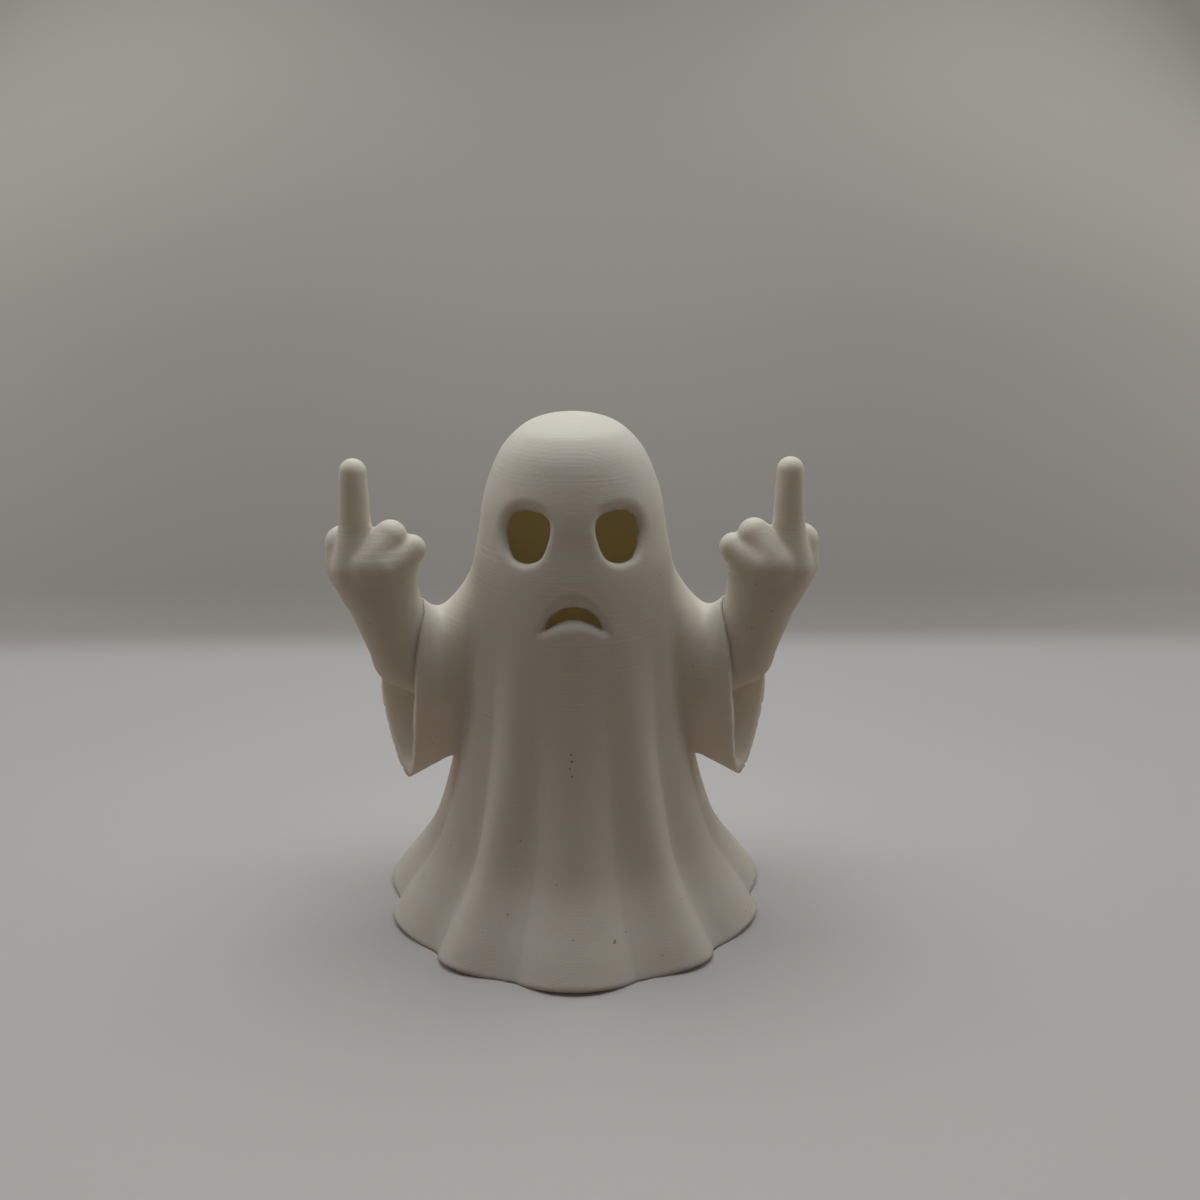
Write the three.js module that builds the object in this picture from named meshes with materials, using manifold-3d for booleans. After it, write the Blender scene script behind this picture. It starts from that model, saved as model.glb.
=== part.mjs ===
// A printed ghost figurine: a hollow robe with a head and two bell sleeves, and two raised arms.
// Millimetres, +Z up. The origin is on the table under the crown, and the face looks along -Y.
// Each arm has a ball and a spigot at its root, glued into a socket inside its sleeve.

import * as THREE from 'three';
import { mergeVertices } from 'three/addons/utils/BufferGeometryUtils.js';
import Module from 'manifold-3d';

const wasm = await Module();
wasm.setup();

// Robe: radii over the fold ridges, and the heights where they hold
const hemRadius = 40.2;
const kneeRadius = 29.3;
const kneeHeight = 15;
const thighRadius = 24.9;
const thighHeight = 30;
const waistRadius = 21.6;
const waistHeight = 50;
const neckRadius = 19.6;
const neckHeight = 70;
const browRadius = 17.4;
const browHeight = 82;
const crownHeight = 100;
const crownRoundness = 2.1;
const crownFlat = 3;
const robeWall = 1.8;

// Folds of the sheet: the valleys of one side, in degrees from the front, mirrored on the other
const foldValleys = [18.3, 46.4, 80, 111.5, 138.5, 166];
const foldDepth = 3.1;
const foldTop = 64;
const foldGrowth = 1.25;
const valleySoftness = 0.35;

// Foot: under each ridge the hem is undercut, so that its outer edge is lifted off the table
const hemLift = 1.1;
const hemInset = 1.1;
const valleyEdge = 0.2;

// Face: the outlines are shares of the half width and half height, from the outer side inwards
const eyeWidth = 9.6;
const eyeHeight = 11;
const eyeSpacing = 17.4;
const eyesBelowBrow = 1.2;
const eyeOutline = [
  [-1, 0], [-0.82, -0.7], [-0.15, -1], [0.6, -0.66],
  [1, 0.15], [0.88, 0.66], [-0.1, 1], [-0.84, 0.52],
];
const eyeBevel = 0.8;
const mouthWidth = 10.4;
const mouthHeight = 5.9;
const mouthBelowBrow = 15;
const mouthOutline = [
  [-1, -1], [-0.83, 0.08], [-0.42, 0.73], [0, 1], [0.42, 0.73], [0.83, 0.08],
  [1, -1], [0.64, -0.72], [0.27, -0.5], [0, -0.43], [-0.27, -0.5], [-0.64, -0.72],
];
const lipDrop = 1.5;
const bevelDepth = 1;

// Sleeves: upright sections from the body to the mouth. x and y place a section's middle line
// from the shoulder, turn swings it about Z, top and bottom are heights from the shoulder.
const shoulderHeight = 53;
const sleeveSections = [
  { x: -8.3, y: -1.5, turn: 0, top: 23, bottom: -16, width: 20, pull: 0 },
  { x: -0.8, y: -1.5, turn: 0, top: 14.4, bottom: -19, width: 22, pull: 0 },
  { x: 4.7, y: -2.2, turn: 10, top: 8.8, bottom: -22, width: 22.5, pull: 0.6 },
  { x: 11.9, y: -3.5, turn: 29.5, top: 12.4, bottom: -25.8, width: 25, pull: 5.4 },
];
const sleeveSwell = 2.8;
const swellRise = 0.33;
const sleeveTipShare = 0.52;
const sleeveTaper = 1.3;
const pullReach = 6;
const sleeveWall = 1.6;
const tipWallShare = 1.5;

// Arms, from the shoulder of the figure's left side; the other arm mirrors them
const socketLength = 3;
const socketRadius = 6.6;
const ballDepth = 2.2;
const spigotRadius = 2.6;
const spigotLength = 1.8;
const glueGap = 0.3;
const upperArmRadius = 5.5;
const elbowRadius = 6;
const wristRadius = 6.9;
const seatForward = 1.5;
const upperArm = new THREE.Vector3(5.6, -1, 0);
const forearm = new THREE.Vector3(3.4, -2, 13.4);

// Hand, from the wrist: the palm's middle and half sizes, and each finger's joints and radii
const palm = { at: [1.1, -0.3, 4.4], size: [7.9, 6.5, 7.4] };
const fingers = {
  middle: { joints: [[3.2, -2.7, 6], [3.7, -2, 11.5], [3.75, -1.8, 23.9]], radii: [3, 2.95, 2.5] },
  index: { joints: [[6.6, 0, 6.2], [6.8, 0.3, 9.8], [6.2, 5, 7]], radii: [3.4, 3.4, 2.9] },
  ring: { joints: [[1, -2.7, 6.3], [-2.4, -2, 11.7], [-1.8, 3.2, 10.5], [-0.8, 5.1, 6.4]],
    radii: [3, 3.1, 2.7, 2.4] },
  little: { joints: [[-3, -2.5, 5.3], [-6, -1.8, 8.9], [-5, 3, 8], [-3.6, 4.8, 5]],
    radii: [2.6, 2.75, 2.5, 2.2] },
  thumb: { joints: [[5.4, 3, 1], [1, 6, 6]], radii: [2.9, 2.6] },
};

// Mesh steps, and how far a cutter runs past what it cuts
const stepsPerFold = 6;
const robeRows = 17;
const rowSpread = 1.25;
const crownRows = 5;
const sleeveSteps = 24;
const sleeveRows = 8;
const outlineSteps = 28;
const limbSides = 12;
const limbCapSteps = 3;
const facetSlack = 0.1;
const overrun = 4;

const plastic = { color: 0xe6e1d6, roughness: 0.55, metalness: 0 };

// Closed solid of a geometry: shared vertices merged, flat triangles dropped, faces turned out
function solidOf(geometry) {
  const bare = geometry.clone();
  bare.deleteAttribute('normal');
  bare.deleteAttribute('uv');
  const merged = mergeVertices(bare, 1e-5);
  const points = merged.attributes.position;
  const source = merged.index.array;
  const triangles = [];
  let volume = 0;
  const corner = [new THREE.Vector3(), new THREE.Vector3(), new THREE.Vector3()];
  for (let k = 0; k < source.length; k += 3) {
    const [a, b, c] = source.slice(k, k + 3);
    if (a === b || b === c || c === a) continue;
    triangles.push(a, b, c);
    [a, b, c].forEach((index, n) => corner[n].fromBufferAttribute(points, index));
    volume += corner[0].dot(corner[1].clone().cross(corner[2]));
  }
  if (volume < 0) triangles.reverse();
  return new wasm.Manifold(new wasm.Mesh({
    numProp: 3,
    vertProperties: new Float32Array(points.array),
    triVerts: new Uint32Array(triangles),
  }));
}

// Solid through a stack of closed rings with as many points each, closed by a fan at both ends
function loft(rings) {
  const count = rings[0].length;
  const positions = [];
  const indices = [];
  for (const ring of rings) for (const point of ring) positions.push(point.x, point.y, point.z);
  for (let row = 0; row + 1 < rings.length; row++) {
    for (let k = 0; k < count; k++) {
      const a = row * count + k;
      const b = row * count + ((k + 1) % count);
      indices.push(a, b, b + count, a, b + count, a + count);
    }
  }
  [rings[0], rings[rings.length - 1]].forEach((ring, end) => {
    const middle = ring.reduce((sum, p) => sum.add(p), new THREE.Vector3()).divideScalar(count);
    const hub = positions.length / 3;
    const base = end * (rings.length - 1) * count;
    positions.push(middle.x, middle.y, middle.z);
    for (let k = 0; k < count; k++) {
      const a = base + k;
      const b = base + ((k + 1) % count);
      if (end) indices.push(a, b, hub);
      else indices.push(b, a, hub);
    }
  });
  const geometry = new THREE.BufferGeometry();
  geometry.setAttribute('position', new THREE.Float32BufferAttribute(positions, 3));
  geometry.setIndex(indices);
  return solidOf(geometry);
}

const union = (solids) => solids.reduce((sum, solid) => sum.add(solid));
const degrees = Math.PI / 180;

// Ridge radius of the robe: a smooth curve through the stations from the hem to the brow
const stations = [
  [0, hemRadius], [kneeHeight, kneeRadius], [thighHeight, thighRadius],
  [waistHeight, waistRadius], [neckHeight, neckRadius], [browHeight, browRadius],
];

function stationSlope(k) {
  const [z0, r0] = stations[Math.max(k - 1, 0)];
  const [z1, r1] = stations[Math.min(k + 1, stations.length - 1)];
  return (r1 - r0) / (z1 - z0);
}

function ridgeRadius(height) {
  if (height > browHeight) {
    const rise = Math.min((height - browHeight) / (crownHeight - browHeight), 1);
    return browRadius * (1 - rise ** crownRoundness) ** (1 / crownRoundness);
  }
  let k = 0;
  while (k + 2 < stations.length && height > stations[k + 1][0]) k++;
  const [z0, r0] = stations[k];
  const [z1, r1] = stations[k + 1];
  const span = z1 - z0;
  const t = (Math.max(height, 0) - z0) / span;
  const keepStart = 2 * t ** 3 - 3 * t ** 2 + 1;
  return keepStart * r0 + (1 - keepStart) * r1
    + (t ** 3 - 2 * t ** 2 + t) * span * stationSlope(k)
    + (t ** 3 - t ** 2) * span * stationSlope(k + 1);
}

// Directions once round the robe, with the share of a ridge at each: 0 in a valley, 1 on a ridge
function foldDirections(steps) {
  const otherSide = foldValleys.map((angle) => 360 - angle).reverse();
  const valleys = [...foldValleys, ...otherSide];
  const directions = [];
  valleys.forEach((start, k) => {
    const end = k + 1 < valleys.length ? valleys[k + 1] : valleys[0] + 360;
    for (let step = 0; step < steps; step++) {
      const share = step / steps;
      const wave = Math.hypot(Math.sin(Math.PI * share), valleySoftness);
      const ridge = (wave - valleySoftness) / (Math.hypot(1, valleySoftness) - valleySoftness);
      directions.push({ angle: (start + share * (end - start)) * degrees, ridge });
    }
  });
  return directions;
}

// Angle 0 is the front of the figure, -Y, and angles grow towards its left hand, +X
const around = (angle, radius, height) => new THREE.Vector3(
  Math.sin(angle) * radius, -Math.cos(angle) * radius, height);

function foldRadius(height, ridge) {
  const fall = Math.max(1 - height / foldTop, 0) ** foldGrowth;
  return ridgeRadius(height) - foldDepth * fall * (1 - ridge);
}

const robeHeights = [];
for (let row = 0; row <= robeRows; row++) {
  robeHeights.push(hemLift + (browHeight - hemLift) * (row / robeRows) ** rowSpread);
}

function robeOutside() {
  const directions = foldDirections(stepsPerFold);
  const rings = [directions.map(({ angle, ridge }) => (
    around(angle, foldRadius(0, ridge) - hemInset * ridge, 0)))];
  robeHeights.forEach((height, row) => {
    const drop = row === 0 ? hemLift - valleyEdge : 0;
    rings.push(directions.map(({ angle, ridge }) => {
      const level = height - drop * (1 - ridge);
      return around(angle, foldRadius(level, ridge), level);
    }));
  });
  for (let row = 1; row < crownRows; row++) {
    const height = browHeight + (crownHeight - browHeight) * Math.sin(row / crownRows * Math.PI / 2);
    rings.push(directions.map(({ angle }) => around(angle, ridgeRadius(height), height)));
  }
  rings.push(directions.map(({ angle }) => around(angle, crownFlat, crownHeight)));
  return loft(rings);
}

// The hollow follows the outside at the wall's thickness and is open at the bottom
function robeInside() {
  const directions = foldDirections(stepsPerFold / 2);
  const slopeStep = 0.5;
  const innerRadius = (height, ridge) => {
    const below = foldRadius(Math.max(height - slopeStep, 0), ridge);
    const above = foldRadius(Math.max(height - slopeStep, 0) + 2 * slopeStep, ridge);
    const slope = (above - below) / (2 * slopeStep);
    return foldRadius(height, ridge) - robeWall * Math.hypot(1, Math.min(Math.abs(slope), 1));
  };
  const rings = [directions.map(({ angle, ridge }) => around(angle, innerRadius(0, ridge), -overrun))];
  for (const height of robeHeights.filter((_, row) => row % 2 === 0)) {
    rings.push(directions.map(({ angle, ridge }) => around(angle, innerRadius(height, ridge), height)));
  }
  const dome = crownHeight - robeWall - browHeight;
  for (let row = 1; row < crownRows; row++) {
    const turn = row / crownRows * Math.PI / 2;
    const radius = (browRadius - robeWall) * Math.cos(turn);
    rings.push(directions.map(({ angle }) => around(angle, radius, browHeight + dome * Math.sin(turn))));
  }
  rings.push(directions.map(({ angle }) => around(angle, crownFlat / 2, browHeight + dome)));
  return loft(rings);
}

// Cutter of a hole in the face: straight through the wall, widened to a lip at the outside
function faceCutter(outline, lip) {
  const smooth = (points) => new THREE.CatmullRomCurve3(
    points.map(([x, z]) => new THREE.Vector3(x, 0, z)), true).getPoints(outlineSteps).slice(0, -1);
  const onFace = (x, z) => -Math.sqrt(Math.max(ridgeRadius(z) ** 2 - x ** 2, 1));
  const ring = (points, depth) => points.map(({ x, z }) => new THREE.Vector3(x, depth(x, z), z));
  const hole = smooth(outline);
  const edge = smooth(lip);
  return loft([
    ring(hole, () => -overrun),
    ring(hole, (x, z) => onFace(x, z) + bevelDepth),
    ring(edge, (x, z) => onFace(x, z) - facetSlack),
    ring(edge, (x, z) => onFace(x, z) - overrun),
  ]);
}

function eyeCutter(side) {
  const at = (grow) => eyeOutline.map(([u, v]) => [
    side * (eyeSpacing / 2 - u * (eyeWidth / 2 + grow)),
    browHeight - eyesBelowBrow + v * (eyeHeight / 2 + grow),
  ]);
  return faceCutter(at(0), at(eyeBevel));
}

function mouthCutter() {
  const middle = browHeight - mouthBelowBrow;
  const at = (drop) => mouthOutline.map(([u, v]) => [
    u * (mouthWidth / 2 + drop), middle + v * mouthHeight / 2 - (v < 0 ? drop : 0)]);
  return faceCutter(at(0), at(lipDrop));
}

// Places and sections on the figure's left side
const shoulder = new THREE.Vector3(ridgeRadius(shoulderHeight), 0, shoulderHeight);

// Section between the listed ones, at share 0 at the body to 1 at the sleeve's mouth
function sleeveSection(share) {
  const last = sleeveSections.length - 1;
  const section = {};
  for (const key of Object.keys(sleeveSections[0])) {
    const curve = new THREE.SplineCurve(sleeveSections.map((s, k) => new THREE.Vector2(k / last, s[key])));
    section[key] = curve.getPoint(share).y;
  }
  return section;
}

// Teardrop ring of a section, narrow below, bulging to the back and pulled in over the arm
function sleeveRing(section, inset, outward) {
  const { x, y, turn, top, bottom, width, pull } = section;
  const swing = turn * degrees;
  const ring = [];
  for (let k = 0; k < sleeveSteps; k++) {
    const angle = k / sleeveSteps * 2 * Math.PI;
    const rise = (1 + Math.cos(angle)) / 2;
    const spread = sleeveTipShare + (1 - sleeveTipShare) * rise ** sleeveTaper;
    const bulge = sleeveSwell * Math.min(rise / swellRise, 1);
    const across = bulge + Math.sin(angle) * (width / 2 * spread - inset);
    const low = bottom + inset * tipWallShare;
    ring.push(new THREE.Vector3(
      shoulder.x + x + across * Math.sin(swing) + outward * Math.cos(swing) - pull * rise ** pullReach,
      shoulder.y + y + across * Math.cos(swing) - outward * Math.sin(swing),
      shoulder.z + low + (top - inset - low) * rise));
  }
  return ring;
}

function sleeveSolid(inset, past) {
  const rings = [];
  for (let row = 0; row <= sleeveRows; row++) {
    rings.push(sleeveRing(sleeveSection(row / sleeveRows), inset, 0));
  }
  if (past) rings.push(sleeveRing(sleeveSection(1), inset, past));
  return loft(rings);
}

// Round-ended limb that tapers between two balls
function limb(from, to, startRadius, endRadius) {
  const axis = to.clone().sub(from);
  const length = axis.length();
  const lean = Math.asin((startRadius - endRadius) / length);
  const profile = [];
  for (let k = 0; k <= limbCapSteps; k++) {
    const turn = -Math.PI / 2 + k / limbCapSteps * (lean + Math.PI / 2);
    profile.push(new THREE.Vector2(Math.cos(turn) * startRadius, Math.sin(turn) * startRadius));
  }
  for (let k = 0; k <= limbCapSteps; k++) {
    const turn = lean + k / limbCapSteps * (Math.PI / 2 - lean);
    profile.push(new THREE.Vector2(Math.cos(turn) * endRadius, length + Math.sin(turn) * endRadius));
  }
  profile[0].x = 0;
  profile[profile.length - 1].x = 0;
  const geometry = new THREE.LatheGeometry(profile, limbSides);
  const turned = new THREE.Quaternion().setFromUnitVectors(new THREE.Vector3(0, 1, 0), axis.normalize());
  geometry.applyQuaternion(turned);
  geometry.translate(from.x, from.y, from.z);
  return solidOf(geometry);
}

// Plain cylinder along X
function rod(radius, start, end) {
  const geometry = new THREE.CylinderGeometry(radius, radius, end.x - start.x, limbSides * 2);
  geometry.rotateZ(Math.PI / 2);
  geometry.translate((start.x + end.x) / 2, start.y, start.z);
  return solidOf(geometry);
}

const seatReach = socketLength + upperArmRadius - ballDepth;
const armSeat = shoulder.clone().add(new THREE.Vector3(seatReach, -seatForward, 0));
const elbow = armSeat.clone().add(upperArm);
const wrist = elbow.clone().add(forearm);
const fromShoulder = (dx) => new THREE.Vector3(shoulder.x + dx, armSeat.y, armSeat.z);

// Arm between the socket and the wrist, with extra all round for the seat that it leaves
function armRoot(extra) {
  const spigotEnd = socketLength - ballDepth - spigotLength;
  return union([
    rod(spigotRadius + extra, fromShoulder(spigotEnd - extra), armSeat),
    limb(armSeat, elbow, upperArmRadius + extra, elbowRadius + extra),
    limb(elbow, wrist, elbowRadius + extra, wristRadius + extra),
  ]);
}

function armSolid() {
  const place = (point) => new THREE.Vector3(...point).add(wrist);
  const palmBall = new THREE.SphereGeometry(1, limbSides + 4, limbSides - 2);
  palmBall.rotateX(Math.PI / 2);
  palmBall.scale(...palm.size);
  palmBall.translate(...place(palm.at).toArray());
  const solids = [armRoot(0), solidOf(palmBall)];
  for (const { joints, radii } of Object.values(fingers)) {
    for (let k = 0; k + 1 < joints.length; k++) {
      solids.push(limb(place(joints[k]), place(joints[k + 1]), radii[k], radii[k + 1]));
    }
  }
  return union(solids);
}

const mirrored = (solid, side) => (side > 0 ? solid : solid.mirror([1, 0, 0]));

function robeSolid() {
  const body = robeOutside();
  const sleeve = sleeveSolid(0, 0);
  const socket = rod(socketRadius, fromShoulder(-robeWall / 2), fromShoulder(socketLength));
  const hollow = sleeveSolid(sleeveWall, overrun).subtract(body).subtract(socket);
  const seat = armRoot(glueGap);
  let robe = body;
  for (const side of [1, -1]) robe = robe.add(mirrored(sleeve, side));
  robe = robe.subtract(robeInside());
  for (const side of [1, -1]) {
    robe = robe.subtract(mirrored(hollow, side)).subtract(mirrored(seat, side)).subtract(eyeCutter(side));
  }
  return robe.subtract(mouthCutter());
}

function meshOf(name, solid) {
  const { vertProperties, triVerts } = solid.getMesh();
  const geometry = new THREE.BufferGeometry();
  geometry.setAttribute('position', new THREE.BufferAttribute(vertProperties, 3));
  geometry.setIndex(new THREE.BufferAttribute(triVerts, 1));
  geometry.computeVertexNormals();
  const mesh = new THREE.Mesh(geometry, new THREE.MeshStandardMaterial(plastic));
  mesh.name = name;
  return mesh;
}

const group = new THREE.Group();
group.add(meshOf('robe_shell', robeSolid()));
group.add(meshOf('left_arm', mirrored(armSolid(), 1)));
group.add(meshOf('right_arm', mirrored(armSolid(), -1)));

export default group;
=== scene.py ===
"""A printed ghost figurine: a hollow robe with a face and two bell sleeves, and two raised arms.

Sizes are in metres, +Z is up and the face looks along -Y. The shapes are written as fields that are
below zero inside the plastic, for the figure's left side, +X, and the right side mirrors them.
"""

import math
from itertools import product

import bpy
import numpy as np
from bpy.props import FloatProperty, FloatVectorProperty, PointerProperty
from bpy.types import Operator, Panel, PropertyGroup
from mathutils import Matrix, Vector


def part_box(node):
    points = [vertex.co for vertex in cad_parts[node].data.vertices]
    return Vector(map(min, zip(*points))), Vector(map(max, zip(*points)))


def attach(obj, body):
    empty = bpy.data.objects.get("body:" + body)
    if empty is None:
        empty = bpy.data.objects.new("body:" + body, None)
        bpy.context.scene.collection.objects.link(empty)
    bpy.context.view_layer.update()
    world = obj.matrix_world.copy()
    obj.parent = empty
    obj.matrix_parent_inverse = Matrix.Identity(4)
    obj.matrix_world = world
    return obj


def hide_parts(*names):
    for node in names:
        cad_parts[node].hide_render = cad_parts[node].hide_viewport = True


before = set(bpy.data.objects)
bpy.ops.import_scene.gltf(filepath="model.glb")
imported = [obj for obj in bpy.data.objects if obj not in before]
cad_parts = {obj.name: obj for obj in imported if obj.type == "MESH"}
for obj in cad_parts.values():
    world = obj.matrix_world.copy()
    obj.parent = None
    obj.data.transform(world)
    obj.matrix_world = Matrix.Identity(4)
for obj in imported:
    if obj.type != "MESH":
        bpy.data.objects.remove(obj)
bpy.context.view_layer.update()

bl_info = {
    "name": "Printed ghost",
    "version": (1, 0, 0),
    "blender": (4, 5, 0),
    "location": "3D View > Sidebar > Ghost",
    "description": "Models a hollow printed ghost with raised arms, and a plain stage for it",
    "category": "Add Mesh",
}

ROBE_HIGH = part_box("robe_shell")[1]
MM = 0.001

# Outline of the robe over its fold ridges, from below the hem to past the crown: radius, height
ROBE_OUTLINE = MM * np.array([
    (48, -9), (44, -4.4), (40.2, 0), (36.4, 5.2), (33, 9.6), (29.5, 15), (27.1, 21.6), (24.9, 30),
    (22.9, 40), (21.6, 50), (20.6, 60), (19.3, 71), (18.1, 77.5), (16.7, 85.5), (13.7, 93),
    (9.7, 97.4), (5.4, 99.4), (0, 100), (-5.4, 99.4),
])
HEM_RADIUS = 40.2 * MM
HEM_SLOPE = 0.73

# The hem's edge in a valley, the height under which it is cut, and how the cut fades upwards
VALLEY_LIFT = 0.2 * MM
HEM_ZONE = 4 * MM
HEM_CUT_FADE = 0.15

# Valleys between the folds of the sheet, from the front round the left side, and their neighbours.
# Between them are the folds' crests, at these shares down at the hem. The growth is a power of the
# way down, and the fullness powers shape the folds at their top and at the hem
FOLD_VALLEYS = np.radians([-18.3, 18.3, 46.4, 80, 111.5, 138.5, 166, 194])
CREST_SHARES = np.array([0.5, 0.7, 0.6, 0.55, 0.5, 0.5, 0.5])
FOLD_GROWTH = 1.12
FOLD_FULLNESS = 1.4, 0.6

# Eye and mouth: the rim on the face and the hole behind it, in shares of the half width and height.
# The eye's +1 side is the one next to the other eye. The mouth's +X half is given, top to bottom
EYE_RIM = np.array([(-1, -0.1), (-0.72, -0.8), (0, -1), (0.62, -0.68), (0.92, -0.04),
                    (1, 0.48), (0.72, 0.86), (0.08, 1), (-0.45, 0.86), (-0.84, 0.46)])
EYE_HOLE = np.array([(-0.66, -0.24), (-0.46, -0.84), (0.02, -0.98), (0.56, -0.8), (0.84, -0.36),
                     (0.97, 0.24), (0.76, 0.6), (0.08, 0.71), (-0.38, 0.55), (-0.6, 0.2)])
MOUTH_RIM = np.array([(0, 0.9), (0.4, 0.6), (0.78, -0.16), (0.98, -1.08),
                      (0.62, -0.88), (0.3, -0.68), (0, -0.64)])
MOUTH_HOLE = np.array([(0, 0.3), (0.33, 0.18), (0.6, -0.2), (0.77, -0.86),
                       (0.54, -0.64), (0.28, -0.44), (0, -0.38)])

# Share of the wall at which the slope from the rim to the hole ends, and the softness kept there
HOLE_DEPTH = 0.7
HOLE_SOFTNESS = 0.5
FACE_LOW = 58 * MM
FACE_HIGH = 90 * MM
FACE_HALF_WIDTH = 18 * MM

# Sleeve sections from the body to the mouth, in mm and degrees. The middle line's x and y, and the
# top and the bottom, are from the shoulder. The pull draws the mouth's top in
SHOULDER = MM * np.array([21.3, 0, 53])
SLEEVE_KEYS = ("x", "y", "turn", "top", "bottom", "width", "pull")
SLEEVE_SECTIONS = np.array([
    (-8.3, -1.5, 0, 23, -16, 20, 0),
    (-0.8, -1.5, 0, 14.4, -19, 22, 0),
    (4.7, -2.2, 10, 8.8, -22, 22.5, 0.6),
    (12.7, -3.5, 28.5, 11.1, -25.8, 25.4, 6),
])

# The sleeve swells to the rear over a share of its height from the tip, and narrows to a share of
# its width at the tip, where the wall is thicker. The taper and the pull's reach are powers of the
# way up
SLEEVE_SWELL = 2.8 * MM
SLEEVE_SWELL_RISE = 0.33
SLEEVE_TIP_SHARE = 0.7
SLEEVE_TAPER = 1.3
SLEEVE_PULL_REACH = 6
TIP_WALL_SHARE = 1.5
SLEEVE_REGION = MM * np.array([(8, -26, 20), (50, 22, 86)])

# The cuff is open under the arm, up to this height, and its front has two soft upright ripples
CUFF_TOP = 50.5 * MM
CUFF_SOFTNESS = 1.5 * MM
RIPPLE_CREST = 21.6 * MM
RIPPLE_STEP = 5.2 * MM
RIPPLE_DEPTH = 0.2 * MM

# Limits in mm between which the ripples fade in or out, and how far in front they are whole
RIPPLE_FADES_UP = (42, 50), (66, 60)
RIPPLE_FADES_OUT = (18, 20), (30, 27)
RIPPLE_FRONT = 4 * MM

# Arm joints in the shared frame, and the hand's parts from the wrist, whose joints and radii are
# in mm
SOCKET_LENGTH = 3 * MM
SOCKET_RADIUS = 6.6 * MM
SPIGOT_RADIUS = 2.6 * MM
SPIGOT_BACK = 1 * MM
ARM_SEAT = SHOULDER + MM * np.array([6.3, -1.5, 0])
ELBOW = ARM_SEAT + MM * np.array([5.6, -1, 0])
WRIST = ELBOW + MM * np.array([3.4, -2, 13.4])
ARM_HEEL = ELBOW + MM * np.array([-5.4, 0.7, -4.6])
HEEL_RADIUS = 5 * MM
UPPER_ARM_RADIUS = 5.5 * MM
ELBOW_RADIUS = 6 * MM
WRIST_RADIUS = 6.9 * MM
PALM_AT = MM * np.array([1.1, -0.6, 4.2])
PALM_SIZE = MM * np.array([7.9, 6.6, 7.6])
KNUCKLE_FILLET = 3 * MM
FINGERS = {
    "middle": ([(5.3, -3.6, 6.2), (3.9, -2.2, 14), (3.75, -1.8, 23.9)], [2.7, 3, 2.5]),
    "index": ([(6.6, 0, 6.2), (6.8, 0.3, 9.8), (6.2, 5, 7)], [3.4, 3.4, 2.9]),
    "ring": ([(1.5, -5, 6.8), (-2.5, -1.9, 11.7), (-1.8, 3.2, 10.5), (-0.8, 5.1, 6.4)],
             [2.9, 3.1, 2.7, 2.4]),
    "little": ([(-1.6, -4.9, 6.6), (-6.2, -1.5, 9.1), (-5, 3, 8), (-3.6, 4.8, 5)],
               [2.7, 2.75, 2.5, 2.2]),
    "thumb": ([(5.4, 3, 1), (1, 6, 6)], [2.9, 2.6]),
}

# Mesh steps along each axis, in mm: places, and the steps there. They are closer where edges lie
SIDE_STEPS = (0, 14, 19, 25, 28, 39, 42, 50), (0.53, 0.53, 0.9, 0.9, 0.7, 0.7, 0.9, 0.9)
DEPTH_STEPS = ((-50, -25, -22, -10, -8, 2, 4, 14, 16, 50),
               (1, 1, 0.52, 0.52, 0.9, 0.9, 0.75, 0.75, 1, 1))
ROW_STEPS = (0, 3, 8, 24, 58, 62, 88, 95, 101), (0.5, 0.55, 0.95, 1, 0.9, 0.53, 0.53, 0.45, 0.4)
ROBE_MARGIN = 2 * MM
ROBE_BELOW = 1.25 * MM
ROBE_ABOVE = 1.5 * MM
ARM_STEP = 0.36 * MM
ARM_MARGIN = 5 * MM

# Table of the outline: its step, and how far it goes past the robe upright and outwards
TABLE_STEP = 0.25 * MM
TABLE_MARGIN = 4 * MM
TABLE_REACH = 12 * MM

# Points added to each step of a curve
OUTLINE_POINTS = 10
RIM_POINTS = 6
SLEEVE_POINTS = 24

# Halvings that find a point's sleeve section, the step that measures slopes, the least squared
# slope, how much a vertex keeps to its cell's middle, and distances that count as far and as none
SLEEVE_HALVINGS = 12
SLOPE_STEP = 0.1 * MM
LEAST_STEEPNESS = 0.05
PLANE_EASE = 0.08
FAR = 20 * MM
TINY = 1e-6

# Across the wall the plastic's colour turns into the hollow's painted glow, a yellow tint for light
# coming through the wall: the change's slope and its offset
PAINTED_GLOW_SLOPE = 2
PAINTED_GLOW_START = 0.9


class GhostRobeSettings(PropertyGroup):
    """Sizes of the robe and its folds."""

    wall: FloatProperty(name="Wall", description="Thickness of the robe's wall",
                        default=1.8 * MM, unit="LENGTH")
    fold_depth: FloatProperty(name="Fold depth", description="Depth of a valley at the hem",
                              default=3.1 * MM, unit="LENGTH")
    fold_top: FloatProperty(name="Fold top", description="Height at which the folds fade out",
                            default=64 * MM, unit="LENGTH")
    fold_softness: FloatProperty(name="Valley softness", description="Roundness of the valleys",
                                 default=0.2)
    hem_lift: FloatProperty(name="Hem lift", description="Height of the hem's edge under a ridge",
                            default=1.4 * MM, unit="LENGTH")
    hem_inset: FloatProperty(name="Hem inset", description="How far the foot stands back there",
                             default=2 * MM, unit="LENGTH")
    edge: FloatProperty(name="Edge", description="Rounding of the robe's edges",
                        default=0.6 * MM, unit="LENGTH")


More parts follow.
